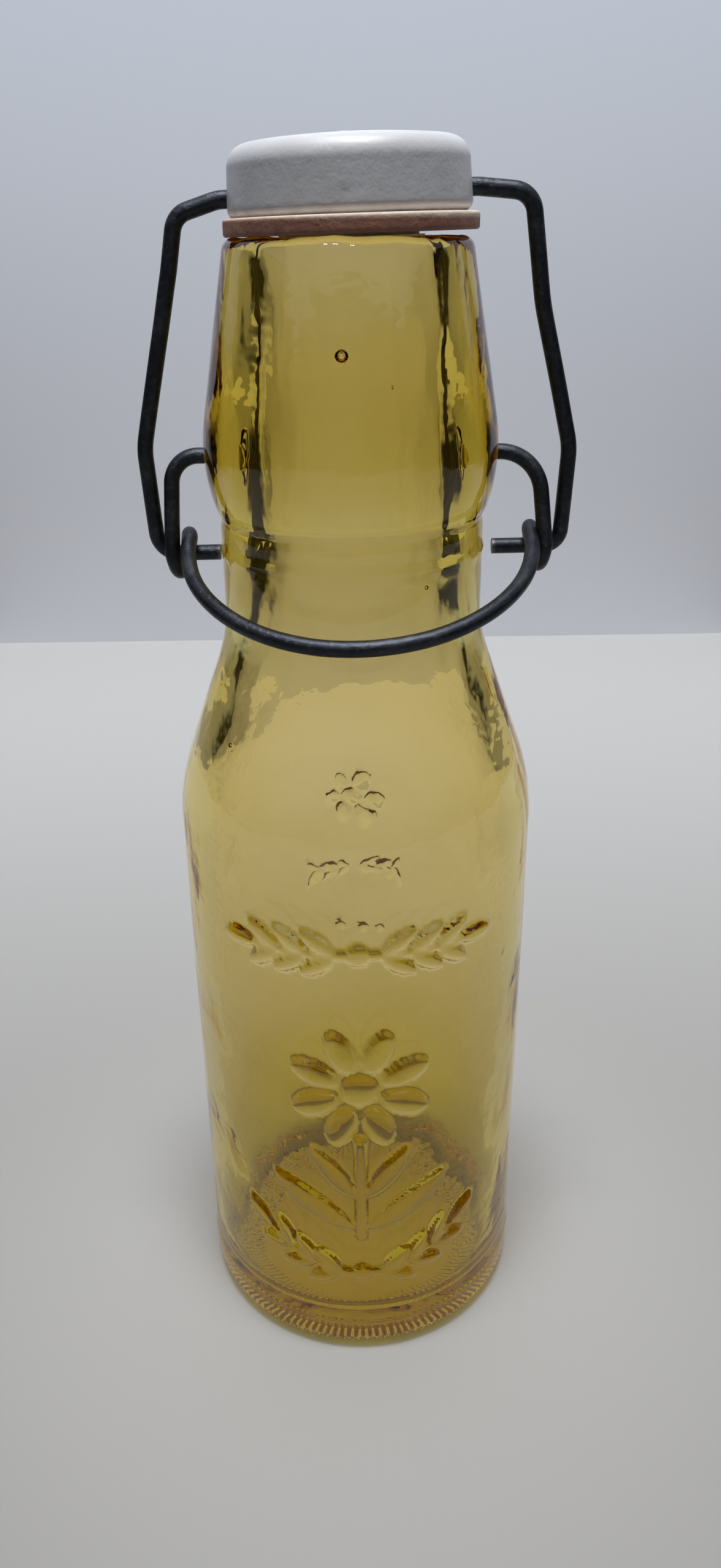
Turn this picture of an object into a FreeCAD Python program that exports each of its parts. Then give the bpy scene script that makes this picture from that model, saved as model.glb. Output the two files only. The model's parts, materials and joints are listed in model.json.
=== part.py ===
import FreeCAD
import Part
import Sketcher
import math
import os

# Swing top bottle: a pressed glass cream bottle closed by a white stopper on a lever and bail of bent wire.
# Millimetres, +Z up. The origin is the centre of the standing ring, and the lever's handle hangs at -Y.

doc = FreeCAD.newDocument("swing_top_bottle")
Vector = FreeCAD.Vector

# Driving dimensions, in millimetres, with angles in degrees.
SIZES = (
    ("body_radius", "30.0", "outside of the cylindrical glass body"),
    ("body_height", "99.6", "top of the cylinder, where the shoulder starts"),
    ("heel_radius", "3.5", "rounding between body and base"),
    ("rest_width", "5.5", "width of the ring that the bottle stands on"),
    ("push_up", "2.0", "height of the dish under the base"),
    ("shoulder_radius", "38.0", "outward curve at the start of the shoulder"),
    ("shoulder_slope", "20.0", "slope of the shoulder from upright"),
    ("sweep_radius", "27.4", "inward curve from shoulder to neck"),
    ("neck_radius", "20.4", "outside of the neck below the collar"),
    ("neck_length", "13.5", "straight neck between the sweep and the collar's step"),
    ("collar_swell", "1.9", "how far the collar stands out from the neck"),
    ("collar_rise", "10.0", "height of the collar's widest line above the step"),
    ("collar_taper", "10.0", "slope of the collar towards the lip"),
    ("collar_length", "38.6", "collar from its step to the lip"),
    ("lip_radius", "2.0", "outer rounding of the lip"),
    ("mouth_radius", "1.5", "inner rounding of the lip"),
    ("wall", "4.2", "glass thickness of the body and shoulder"),
    ("floor_thickness", "6.0", "glass above the dish of the base"),
    ("floor_radius", "8.0", "inner rounding between floor and wall"),
    ("neck_wall", "7.2", "glass between the bore and the neck's outside"),
    ("bore_sweep", "32.0", "inner curve from shoulder to bore"),
    ("wire_diameter", "2.4", "steel wire of the lever and the bail"),
    ("pivot_rise", "8.8", "lever pivot above the step"),
    ("pivot_clearance", "0.15", "play of the wire in its glass socket"),
    ("socket_depth", "3.8", "depth of the glass sockets at the collar's widest line"),
    ("socket_end_gap", "0.4", "play between a wire end and its socket floor"),
    ("lever_stand_off", "6.0", "how far the lever's side bends stand off the collar"),
    ("lever_bend", "4.5", "bend radius between pivot and side strand"),
    ("lever_spread", "1.2", "how far the side strands spread on their way down"),
    ("lever_throw", "14.7", "pivot to eye, which pulls the bail down"),
    ("eye_clearance", "0.4", "play of the bail's pin in the lever's eye"),
    ("eye_gap", "0.6", "gap between the two strands of an eye"),
    ("handle_droop", "20.0", "slope of the closed handle below level"),
    ("handle_leg", "2.3", "straight run between eye and bow"),
    ("pin_gap", "1.0", "gap between a bail pin and the neck"),
    ("bail_side_gap", "0.4", "gap between the bail's leg and the lever's eye"),
    ("elbow_radius", "2.6", "bend radius between the bail's pin and leg"),
    ("kink_rise", "14.4", "straight stretch of the bail above its pin"),
    ("kink_radius", "14.0", "bend radius where the bail leans in"),
    ("bail_lean", "12.3", "slope of the bail's upper legs from upright"),
    ("top_bend_radius", "3.5", "bend radius between the bail's leg and arm"),
    ("arm_droop", "10.0", "slope of the bail's arms below level"),
    ("droop_radius", "6.0", "bend radius where an arm leaves the stopper"),
    ("arm_gap", "1.0", "straight wire showing beside the stopper"),
    ("cap_overlap", "4.0", "how far the stopper reaches past the bore"),
    ("cap_height", "10.2", "stopper above its gasket, at the crown"),
    ("cap_edge_radius", "2.5", "rounding of the stopper's top edge"),
    ("cap_dome_radius", "130.0", "crown of the stopper's top"),
    ("cap_foot_radius", "0.8", "rounding of the stopper's lower edge"),
    ("hole_height", "3.1", "bail wire above the stopper's underside"),
    ("hole_clearance", "0.2", "play of the wire in the stopper"),
    ("stem_clearance", "3.2", "gap between the stopper's stem and the bore"),
    ("stem_length", "1.9", "stem below the gasket"),
    ("bead_width", "0.8", "bead that keeps the gasket on its stem"),
    ("bead_radius", "0.6", "rounding of the bead"),
    ("gasket_thickness", "2.3", "rubber ring"),
    ("gasket_overhang", "1.0", "how far the gasket stands out from the stopper"),
    ("gasket_edge", "0.4", "rounding of the gasket's rim"),
    ("gasket_fit", "0.1", "play of the gasket on its stem"),
    ("seat_gap", "0.1", "play between gasket and lip"),
)

# Sizes and places that follow from them.
PLACES = (
    (
        "neck_foot",
        "Sizes.body_height + (Sizes.body_radius - Sizes.neck_radius) / tan(Sizes.shoulder_slope * 1 deg)"
        " + (Sizes.shoulder_radius + Sizes.sweep_radius) * tan(Sizes.shoulder_slope * 0.5 deg)",
    ),
    ("step_height", "neck_foot + Sizes.neck_length"),
    ("bottle_height", "step_height + Sizes.collar_length"),
    ("collar_radius", "Sizes.neck_radius + Sizes.collar_swell"),
    ("collar_height", "step_height + Sizes.collar_rise"),
    ("collar_arc", "(Sizes.collar_swell^2 + Sizes.collar_rise^2) / (2 * Sizes.collar_swell)"),
    ("inner_radius", "Sizes.body_radius - Sizes.wall"),
    ("floor_height", "Sizes.push_up + Sizes.floor_thickness"),
    ("bore_radius", "Sizes.neck_radius - Sizes.neck_wall"),
    ("wire_radius", "Sizes.wire_diameter / 2"),
    ("pivot_height", "step_height + Sizes.pivot_rise"),
    ("pin_height", "pivot_height - Sizes.lever_throw"),
    ("socket_floor", "collar_radius - Sizes.socket_depth"),
    ("bend_reach", "collar_radius + Sizes.lever_stand_off"),
    ("eye_outer", "bend_reach + Sizes.lever_spread"),
    ("eye_inner", "eye_outer - Sizes.wire_diameter - Sizes.eye_gap"),
    ("eye_radius", "Sizes.wire_diameter + Sizes.eye_clearance"),
    ("leg_reach", "eye_outer + Sizes.wire_diameter + Sizes.bail_side_gap"),
    ("pin_reach", "Sizes.neck_radius + Sizes.pin_gap"),
    ("kink_height", "pin_height + Sizes.kink_rise"),
    ("gasket_base", "bottle_height + Sizes.seat_gap"),
    ("cap_base", "gasket_base + Sizes.gasket_thickness"),
    ("cap_top", "cap_base + Sizes.cap_height"),
    ("cap_radius", "bore_radius + Sizes.cap_overlap"),
    ("hole_axis", "cap_base + Sizes.hole_height"),
    ("arm_start", "cap_radius + Sizes.arm_gap"),
    ("gasket_radius", "cap_radius + Sizes.gasket_overhang"),
    ("stem_radius", "bore_radius - Sizes.stem_clearance"),
    ("bead_reach", "stem_radius + Sizes.bead_width"),
    ("stem_base", "gasket_base - Sizes.stem_length"),
    ("bead_top", "gasket_base - Sizes.gasket_fit"),
)

sizes = doc.addObject("Spreadsheet::Sheet", "Sizes")
for row, (alias, value, meaning) in enumerate(SIZES, start=1):
    sizes.set(f"A{row}", meaning)
    sizes.set(f"B{row}", value)
    sizes.setAlias(f"B{row}", alias)
places = doc.addObject("Spreadsheet::Sheet", "Places")
for row, (alias, formula) in enumerate(PLACES, start=1):
    places.setAlias(f"A{row}", alias)
    places.set(f"A{row}", "=" + formula)
doc.recompute()


def worth(expression):
    """The number that an expression on the two sheets comes to."""
    return float(places.evalExpression(expression))


def size(alias):
    return float(getattr(sizes, alias))


def place(alias):
    return float(getattr(places, alias))


def origin_plane(body, role):
    return next(feature for feature in body.Origin.OriginFeatures if feature.Role == role)


class Outline:
    """A chain of lines and arcs in a sketch, drawn in order, whose sizes are bound to the sheets."""

    ROOT = -1
    UPRIGHT = -2

    def __init__(self, body, name, plane="XZ_Plane"):
        self.sketch = body.newObject("Sketcher::SketchObject", name)
        self.sketch.AttachmentSupport = (origin_plane(body, plane), [""])
        self.sketch.MapMode = "FlatFace"
        self.ends = []

    def line(self, start, end):
        edge = self.sketch.addGeometry(Part.LineSegment(Vector(*start, 0), Vector(*end, 0)))
        self.ends.append((1, 2))
        return edge

    def arc(self, centre, radius, from_angle, to_angle):
        """An arc about a centre, travelled from one angle to the other, in degrees."""
        circle = Part.Circle(Vector(*centre, 0), Vector(0, 0, 1), radius)
        low, high = sorted((math.radians(from_angle), math.radians(to_angle)))
        edge = self.sketch.addGeometry(Part.ArcOfCircle(circle, low, high))
        self.ends.append((1, 2) if to_angle > from_angle else (2, 1))
        return edge

    def fix(self, *constraint):
        return self.sketch.addConstraint(Sketcher.Constraint(*constraint))

    def join(self, closed=True, corners=()):
        """Joins each edge to the next, smoothly unless the first of the two is in corners."""
        count = len(self.ends)
        for edge in range(count if closed else count - 1):
            after = (edge + 1) % count
            kind = "Coincident" if edge in corners else "Tangent"
            self.fix(kind, edge, self.ends[edge][1], after, self.ends[after][0])

    def bind(self, expression, kind, *where):
        value = worth(expression)
        if kind == "Angle":
            value = math.radians(value)
            expression = f"({expression}) * 1 deg"
        constraint = self.fix(kind, *where, value)
        self.sketch.setExpression(f"Constraints[{constraint}]", expression)

    def radius(self, edge, expression):
        self.bind(expression, "Radius", edge)

    def reach(self, edge, end, expression):
        self.bind(expression, "DistanceX", self.ROOT, 1, edge, self.ends[edge][end])

    def height(self, edge, end, expression):
        self.bind(expression, "DistanceY", self.ROOT, 1, edge, self.ends[edge][end])

    def slope(self, edge, expression):
        self.bind(expression, "Angle", edge)

    def level(self, *edges):
        for edge in edges:
            self.fix("Horizontal", edge)

    def upright(self, *edges):
        for edge in edges:
            self.fix("Vertical", edge)

    def on_axis(self, edge, end):
        self.fix("PointOnObject", edge, self.ends[edge][end], self.UPRIGHT)


def turned(body, name, kind, outline):
    """A feature made by turning an outline a full turn about the bottle's axis."""
    feature = body.newObject(kind, name)
    feature.Profile = outline.sketch
    feature.ReferenceAxis = (outline.sketch, ["V_Axis"])
    feature.Angle = 360
    return feature


def drill(body, name, height, radius, floor=None):
    """A round hole along X at a height: right through, or from a floor outwards and mirrored."""
    sketch = body.newObject("Sketcher::SketchObject", name + "_circle")
    sketch.AttachmentSupport = (origin_plane(body, "YZ_Plane"), [""])
    sketch.MapMode = "FlatFace"
    circle = Part.Circle(Vector(0, worth(height), 0), Vector(0, 0, 1), worth(radius))
    edge = sketch.addGeometry(circle)
    sketch.addConstraint(Sketcher.Constraint("PointOnObject", edge, 3, Outline.UPRIGHT))
    level = sketch.addConstraint(Sketcher.Constraint("DistanceY", Outline.ROOT, 1, edge, 3, worth(height)))
    sketch.setExpression(f"Constraints[{level}]", height)
    width = sketch.addConstraint(Sketcher.Constraint("Radius", edge, worth(radius)))
    sketch.setExpression(f"Constraints[{width}]", radius)
    pocket = body.newObject("PartDesign::Pocket", name)
    pocket.Profile = sketch
    pocket.Type = "ThroughAll"
    if floor is None:
        pocket.Midplane = True
        return pocket
    sketch.setExpression("AttachmentOffset.Base.z", floor)
    pocket.Reversed = True
    doc.recompute()
    return mirrored(body, name + "_pair", pocket)


def mirrored(body, name, feature):
    pair = body.newObject("PartDesign::Mirrored", name)
    pair.Originals = [feature]
    pair.MirrorPlane = (origin_plane(body, "YZ_Plane"), [""])
    body.Tip = pair
    return pair


def make_bottle():
    """The glass: one turned form with a thick collar, a turned cavity and two blind sockets for the lever."""
    body = doc.addObject("PartDesign::Body", "glass_bottle")
    body_radius, body_height = size("body_radius"), size("body_height")
    heel, push_up = size("heel_radius"), size("push_up")
    shoulder, sweep, slope = size("shoulder_radius"), size("sweep_radius"), size("shoulder_slope")
    neck, step, top = size("neck_radius"), place("step_height"), place("bottle_height")
    taper, lip = size("collar_taper"), size("lip_radius")
    lean = math.radians(slope)

    rest_outer = body_radius - heel
    rest_inner = rest_outer - size("rest_width")
    dish = (rest_inner**2 + push_up**2) / (2 * push_up)
    dish_angle = math.degrees(math.asin(rest_inner / dish))
    cone_foot = (body_radius - shoulder * (1 - math.cos(lean)), body_height + shoulder * math.sin(lean))
    cone_top = neck + sweep * (1 - math.cos(lean))
    cone_end = (cone_top, cone_foot[1] + (cone_foot[0] - cone_top) / math.tan(lean))
    neck_foot = place("neck_foot")
    swell, collar_height = place("collar_arc"), place("collar_height")
    collar_centre = place("collar_radius") - swell
    step_angle = -math.degrees(math.asin(size("collar_rise") / swell))
    taper_turn = math.radians(taper)
    taper_foot = (collar_centre + swell * math.cos(taper_turn), collar_height + swell * math.sin(taper_turn))
    lip_height = top - lip
    taper_rise = lip_height + lip * math.sin(taper_turn) - taper_foot[1]
    taper_end = (taper_foot[0] - taper_rise * math.tan(taper_turn), taper_foot[1] + taper_rise)
    lip_centre = (taper_end[0] - lip * math.cos(taper_turn), lip_height)

    form = Outline(body, "outer_outline")
    axis = form.line((0, top), (0, push_up))
    dish_arc = form.arc((0, push_up - dish), dish, 90, 90 - dish_angle)
    rest = form.line((rest_inner, 0), (rest_outer, 0))
    heel_arc = form.arc((rest_outer, heel), heel, -90, 0)
    side = form.line((body_radius, heel), (body_radius, body_height))
    shoulder_arc = form.arc((body_radius - shoulder, body_height), shoulder, 0, slope)
    cone = form.line(cone_foot, cone_end)
    sweep_arc = form.arc((neck + sweep, neck_foot), sweep, 180 + slope, 180)
    neck_side = form.line((neck, neck_foot), (neck, step))
    collar_arc = form.arc((collar_centre, collar_height), swell, step_angle, taper)
    tapered = form.line(taper_foot, taper_end)
    lip_arc = form.arc(lip_centre, lip, taper, 90)
    land = form.line((lip_centre[0], top), (0, top))
    form.join(corners=(axis, dish_arc, neck_side, land))
    form.upright(side, neck_side)
    form.level(rest, land)
    form.on_axis(axis, 0)
    form.on_axis(axis, 1)
    form.fix("PointOnObject", dish_arc, 3, Outline.UPRIGHT)
    form.fix("PointOnObject", rest, 1, Outline.ROOT)
    form.height(axis, 1, "Sizes.push_up")
    form.bind("Sizes.rest_width", "Distance", rest)
    form.radius(heel_arc, "Sizes.heel_radius")
    form.reach(side, 0, "Sizes.body_radius")
    form.height(side, 1, "Sizes.body_height")
    form.radius(shoulder_arc, "Sizes.shoulder_radius")
    form.slope(cone, "90 + Sizes.shoulder_slope")
    form.radius(sweep_arc, "Sizes.sweep_radius")
    form.reach(neck_side, 0, "Sizes.neck_radius")
    form.height(neck_side, 1, "Places.step_height")
    form.radius(collar_arc, "Places.collar_arc")
    form.bind("Places.collar_height", "DistanceY", Outline.ROOT, 1, collar_arc, 3)
    form.slope(tapered, "90 + Sizes.collar_taper")
    form.radius(lip_arc, "Sizes.lip_radius")
    form.height(land, 0, "Places.bottle_height")
    turned(body, "outer_form", "PartDesign::Revolution", form)

    wall, inner, bore = size("wall"), place("inner_radius"), place("bore_radius")
    floor, corner = place("floor_height"), size("floor_radius")
    inner_shoulder = shoulder - wall
    bore_sweep, mouth = size("bore_sweep"), size("mouth_radius")
    inner_foot = (inner - inner_shoulder * (1 - math.cos(lean)), body_height + inner_shoulder * math.sin(lean))
    inner_top = bore + bore_sweep * (1 - math.cos(lean))
    inner_end = (inner_top, inner_foot[1] + (inner_foot[0] - inner_top) / math.tan(lean))
    bore_foot = inner_end[1] + bore_sweep * math.sin(lean)
    flare = bore + mouth

    hollow = Outline(body, "cavity_outline")
    middle = hollow.line((0, top), (0, floor))
    ground = hollow.line((0, floor), (inner - corner, floor))
    corner_arc = hollow.arc((inner - corner, floor + corner), corner, -90, 0)
    wall_side = hollow.line((inner, floor + corner), (inner, body_height))
    inner_arc = hollow.arc((inner - inner_shoulder, body_height), inner_shoulder, 0, slope)
    inner_cone = hollow.line(inner_foot, inner_end)
    bore_arc = hollow.arc((bore + bore_sweep, bore_foot), bore_sweep, 180 + slope, 180)
    bore_side = hollow.line((bore, bore_foot), (bore, top - mouth))
    mouth_arc = hollow.arc((flare, top - mouth), mouth, 180, 90)
    mouth_land = hollow.line((flare, top), (0, top))
    hollow.join(corners=(middle, mouth_arc, mouth_land))
    hollow.upright(wall_side, bore_side)
    hollow.level(ground, mouth_land)
    hollow.on_axis(middle, 0)
    hollow.on_axis(middle, 1)
    hollow.height(middle, 1, "Places.floor_height")
    hollow.radius(corner_arc, "Sizes.floor_radius")
    hollow.reach(wall_side, 0, "Places.inner_radius")
    hollow.height(wall_side, 1, "Sizes.body_height")
    hollow.radius(inner_arc, "Sizes.shoulder_radius - Sizes.wall")
    hollow.slope(inner_cone, "90 + Sizes.shoulder_slope")
    hollow.radius(bore_arc, "Sizes.bore_sweep")
    hollow.reach(bore_side, 0, "Places.bore_radius")
    hollow.radius(mouth_arc, "Sizes.mouth_radius")
    hollow.reach(mouth_land, 0, "Places.bore_radius + Sizes.mouth_radius")
    hollow.height(mouth_land, 0, "Places.bottle_height")
    turned(body, "cavity", "PartDesign::Groove", hollow)
    doc.recompute()
    socket_radius = "Places.wire_radius + Sizes.pivot_clearance"
    drill(body, "lever_socket", "Places.pivot_height", socket_radius, "Places.socket_floor")
    return body


def make_stopper():
    """The white stopper: a domed disc with a beaded stem below and a hole across it for the bail."""
    body = doc.addObject("PartDesign::Body", "stopper_cap")
    base, top, radius = place("cap_base"), place("cap_top"), place("cap_radius")
    dome, edge, foot = size("cap_dome_radius"), size("cap_edge_radius"), size("cap_foot_radius")
    stem, stem_base = place("stem_radius"), place("stem_base")
    bead, bead_round, bead_top = place("bead_reach"), size("bead_radius"), place("bead_top")
    edge_reach = radius - edge
    dome_angle = math.degrees(math.acos(edge_reach / (dome - edge)))
    edge_height = top - dome + (dome - edge) * math.sin(math.radians(dome_angle))

    form = Outline(body, "stopper_outline")
    axis = form.line((0, top), (0, stem_base))
    under = form.line((0, stem_base), (bead - bead_round, stem_base))
    bead_arc = form.arc((bead - bead_round, stem_base + bead_round), bead_round, -90, 0)
    bead_side = form.line((bead, stem_base + bead_round), (bead, bead_top))
    bead_land = form.line((bead, bead_top), (stem, bead_top))
    stem_side = form.line((stem, bead_top), (stem, base))
    seat = form.line((stem, base), (radius - foot, base))
    foot_arc = form.arc((radius - foot, base + foot), foot, -90, 0)
    side = form.line((radius, base + foot), (radius, edge_height))
    edge_arc = form.arc((edge_reach, edge_height), edge, 0, dome_angle)
    dome_arc = form.arc((0, top - dome), dome, dome_angle, 90)
    form.join(corners=(axis, bead_side, bead_land, stem_side, dome_arc))
    form.upright(bead_side, stem_side, side)
    form.level(under, bead_land, seat)
    form.on_axis(axis, 0)
    form.on_axis(axis, 1)
    form.fix("PointOnObject", dome_arc, 3, Outline.UPRIGHT)
    form.height(axis, 0, "Places.cap_top")
    form.height(axis, 1, "Places.stem_base")
    form.radius(bead_arc, "Sizes.bead_radius")
    form.reach(bead_side, 0, "Places.bead_reach")
    form.height(bead_side, 1, "Places.bead_top")
    form.reach(stem_side, 0, "Places.stem_radius")
    form.height(stem_side, 1, "Places.cap_base")
    form.radius(foot_arc, "Sizes.cap_foot_radius")
    form.reach(side, 0, "Places.cap_radius")
    form.radius(edge_arc, "Sizes.cap_edge_radius")
    form.radius(dome_arc, "Sizes.cap_dome_radius")
    turned(body, "stopper_form", "PartDesign::Revolution", form)
    doc.recompute()
    drill(body, "bail_hole", "Places.hole_axis", "Places.wire_radius + Sizes.hole_clearance")
    return body


def make_gasket():
    """The flat rubber ring that is stretched over the stopper's stem."""
    body = doc.addObject("PartDesign::Body", "sealing_gasket")
    base, top = place("gasket_base"), place("cap_base")
    bore, rim, edge = place("stem_radius") + size("gasket_fit"), place("gasket_radius"), size("gasket_edge")
    form = Outline(body, "gasket_outline")
    hole = form.line((bore, top), (bore, base))
    under = form.line((bore, base), (rim - edge, base))
    lower_arc = form.arc((rim - edge, base + edge), edge, -90, 0)
    side = form.line((rim, base + edge), (rim, top - edge))
    upper_arc = form.arc((rim - edge, top - edge), edge, 0, 90)
    over = form.line((rim - edge, top), (bore, top))
    form.join(corners=(hole, over))
    form.upright(hole, side)
    form.level(under, over)
    form.reach(hole, 0, "Places.stem_radius + Sizes.gasket_fit")
    form.height(hole, 0, "Places.cap_base")
    form.height(hole, 1, "Places.gasket_base")
    form.reach(side, 0, "Places.gasket_radius")
    form.radius(lower_arc, "Sizes.gasket_edge")
    form.radius(upper_arc, "Sizes.gasket_edge")
    turned(body, "gasket_form", "PartDesign::Revolution", form)
    return body


def make_bail():
    """The bail: one wire from pin to pin, over the stopper and through it, drawn as a half and mirrored."""
    body = doc.addObject("PartDesign::Body", "bail_wire")
    across, pin, leg = place("hole_axis"), place("pin_height"), place("leg_reach")
    droop, lean = size("arm_droop"), size("bail_lean")
    droop_bend, top_bend = size("droop_radius"), size("top_bend_radius")
    kink_bend, elbow = size("kink_radius"), size("elbow_radius")
    start, kink = place("arm_start"), place("kink_height")
    droop_turn, lean_turn = math.radians(droop), math.radians(lean)

    arm_foot = (start + droop_bend * math.sin(droop_turn), across - droop_bend * (1 - math.cos(droop_turn)))
    kink_centre = (leg - kink_bend, kink)
    kink_top = (leg - kink_bend * (1 - math.cos(lean_turn)), kink + kink_bend * math.sin(lean_turn))
    # The arm and the leg run towards one corner, which the top bend rounds off.
    rise = kink_top[0] + kink_top[1] * math.tan(lean_turn) - arm_foot[0] - arm_foot[1] * math.tan(lean_turn)
    run = rise / (1 - math.tan(droop_turn) * math.tan(lean_turn))
    corner = (arm_foot[0] + run, arm_foot[1] - run * math.tan(droop_turn))
    trim = top_bend * math.tan((math.pi / 2 - droop_turn - lean_turn) / 2)
    arm_end = (corner[0] - trim * math.cos(droop_turn), corner[1] + trim * math.sin(droop_turn))
    leg_top = (corner[0] + trim * math.sin(lean_turn), corner[1] - trim * math.cos(lean_turn))
    bend_centre = (arm_end[0] - top_bend * math.sin(droop_turn), arm_end[1] - top_bend * math.cos(droop_turn))

    path = Outline(body, "bail_path")
    middle = path.line((0, across), (start, across))
    droop_arc = path.arc((start, across - droop_bend), droop_bend, 90, 90 - droop)
    arm = path.line(arm_foot, arm_end)
    top_arc = path.arc(bend_centre, top_bend, 90 - droop, lean)
    upper_leg = path.line(leg_top, kink_top)
    kink_arc = path.arc(kink_centre, kink_bend, lean, 0)
    lower_leg = path.line((leg, kink), (leg, pin + elbow))
    elbow_arc = path.arc((leg - elbow, pin + elbow), elbow, 0, -90)
    pin_run = path.line((leg - elbow, pin), (place("pin_reach"), pin))
    path.join(closed=False)
    path.level(middle, pin_run)
    path.upright(lower_leg)
    path.on_axis(middle, 0)
    path.height(middle, 0, "Places.hole_axis")
    path.reach(middle, 1, "Places.arm_start")
    path.radius(droop_arc, "Sizes.droop_radius")
    path.slope(arm, "-Sizes.arm_droop")
    path.radius(top_arc, "Sizes.top_bend_radius")
    path.slope(upper_leg, "Sizes.bail_lean - 90")
    path.radius(kink_arc, "Sizes.kink_radius")
    path.reach(lower_leg, 0, "Places.leg_reach")
    path.height(lower_leg, 0, "Places.kink_height")
    path.radius(elbow_arc, "Sizes.elbow_radius")
    path.height(pin_run, 1, "Places.pin_height")
    path.reach(pin_run, 1, "Places.pin_reach")

    section = Outline(body, "bail_section", "YZ_Plane")
    ring = section.sketch.addGeometry(Part.Circle(Vector(0, across, 0), Vector(0, 0, 1), place("wire_radius")))
    section.fix("PointOnObject", ring, 3, Outline.UPRIGHT)
    section.bind("Places.hole_axis", "DistanceY", Outline.ROOT, 1, ring, 3)
    section.radius(ring, "Places.wire_radius")
    doc.recompute()
    half = body.newObject("PartDesign::AdditivePipe", "bail_half")
    half.Profile = section.sketch
    half.Spine = (path.sketch, [f"Edge{number}" for number in range(1, len(path.ends) + 1)])
    doc.recompute()
    mirrored(body, "bail_whole", half)
    return body


def arc_between(start, tangent, end):
    """The arc that leaves a point along a tangent and ends at another point."""
    chord = end - start
    middle = start + chord * 0.5
    half_turn = tangent.getAngle(chord)
    corner = start + tangent * (chord.Length / (2 * math.cos(half_turn)))
    towards = (corner - middle).normalize()
    crown = middle + towards * (chord.Length / 2 * math.tan(half_turn / 2))
    return Part.Arc(start, crown, end).toShape()


def biarc(start, start_tangent, end, end_tangent):
    """Two arcs that join smoothly and share the ends and tangents of one stretch of a coil."""
    chord = end - start
    spread = 2 * (1 - start_tangent.dot(end_tangent))
    along = chord.dot(start_tangent + end_tangent)
    reach = (math.sqrt(along**2 + spread * chord.dot(chord)) - along) / spread
    first_corner = start + start_tangent * reach
    second_corner = end - end_tangent * reach
    joint = (first_corner + second_corner) * 0.5
    joint_tangent = (second_corner - first_corner).normalize()
    return [arc_between(start, start_tangent, joint), arc_between(joint, joint_tangent, end)]


def lever_half_path():
    """One side of the lever, from its end in the glass to the middle of the handle's bow."""
    pivot, pin = place("pivot_height"), place("pin_height")
    outer, inner, eye = place("eye_outer"), place("eye_inner"), place("eye_radius")
    bend, droop = size("lever_bend"), math.radians(size("handle_droop"))
    end_in_glass = Vector(place("socket_floor") + size("socket_end_gap"), 0, pivot)
    corner = Vector(place("bend_reach"), 0, pivot)

    # The strand comes down in front of the pin, under it, up behind it and over it, and leaves as the handle.
    entry_angle = -math.asin(eye / size("lever_throw"))
    exit_angle = 1.5 * math.pi + droop
    pitch = (inner - outer) / (exit_angle - entry_angle)

    def on_eye(angle):
        x = outer + pitch * (angle - entry_angle)
        return Vector(x, -eye * math.cos(angle), pin - eye * math.sin(angle))

    def along_eye(angle):
        return Vector(pitch, eye * math.sin(angle), -eye * math.cos(angle)).normalize()

    entry = on_eye(entry_angle)
    down = (entry - corner).normalize()
    outward = Vector(1, 0, 0)
    trim = bend * math.tan(outward.getAngle(down) / 2)
    bend_start = corner - outward * trim
    bend_end = corner + down * trim
    forward = Vector(0, -math.cos(droop), -math.sin(droop))
    leg_end = on_eye(exit_angle) + forward * size("handle_leg")
    bow_middle = leg_end - outward * inner + forward * inner

    edges = [
        Part.LineSegment(end_in_glass, bend_start).toShape(),
        arc_between(bend_start, outward, bend_end),
        Part.LineSegment(bend_end, entry).toShape(),
    ]
    quarters = 4
    angles = [entry_angle + (exit_angle - entry_angle) * step / quarters for step in range(quarters + 1)]
    tangents = [down] + [along_eye(angle) for angle in angles[1:-1]] + [forward]
    for step in range(quarters):
        edges += biarc(on_eye(angles[step]), tangents[step], on_eye(angles[step + 1]), tangents[step + 1])
    edges.append(Part.LineSegment(on_eye(exit_angle), leg_end).toShape())
    edges.append(arc_between(leg_end, forward, bow_middle))
    return edges


def least_gap(edges):
    """The least gap between two strands of a wire, measured on points that lie well apart along its path."""
    spacing = size("wire_diameter") / 6
    apart = 18
    points = Part.Wire(edges).discretize(Distance=spacing)
    nearest = min(
        points[first].distanceToPoint(points[second])
        for first in range(len(points))
        for second in range(first + apart, len(points))
    )
    return nearest - size("wire_diameter")


def make_lever():
    """The lever: one wire with a one-turn eye on each side, which no flat sketch can hold."""
    edges = lever_half_path()
    path = Part.Wire(edges)
    start = edges[0].firstVertex().Point
    section = Part.Wire([Part.Circle(start, Vector(1, 0, 0), place("wire_radius")).toShape()])
    half = path.makePipeShell([section], True, False)
    whole = half.fuse(half.mirror(Vector(0, 0, 0), Vector(1, 0, 0))).removeSplitter()
    lever = doc.addObject("Part::Feature", "lever_wire")
    lever.Shape = whole.Solids[0]
    expected = 2 * path.Length * math.pi * place("wire_radius") ** 2
    print(f"lever wire {2 * path.Length:.1f} mm long, volume {whole.Volume / expected:.4f} of section x length")
    print(f"least gap between strands of one side {least_gap(edges):.2f} mm")
    return lever


pieces = [make_bottle(), make_stopper(), make_gasket(), make_bail(), make_lever()]
doc.recompute()

for item in doc.Objects:
    if "Invalid" in item.State or "Error" in item.State:
        raise RuntimeError(f"{item.Label} failed: {item.State}")
for piece in pieces:
    if piece.Shape.isNull() or not piece.Shape.isValid() or len(piece.Shape.Solids) != 1:
        raise RuntimeError(f"{piece.Label} is not one valid solid")

os.makedirs("parts", exist_ok=True)
for piece in pieces:
    piece.Placement = FreeCAD.Placement()
    piece.Shape.exportStep(f"parts/{piece.Label}.step")
    print(f"{piece.Label}: {piece.Shape.Volume:.0f} mm3")
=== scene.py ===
import json
import math

import bmesh
import bpy
import numpy
from mathutils import Matrix, Vector, noise


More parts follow.
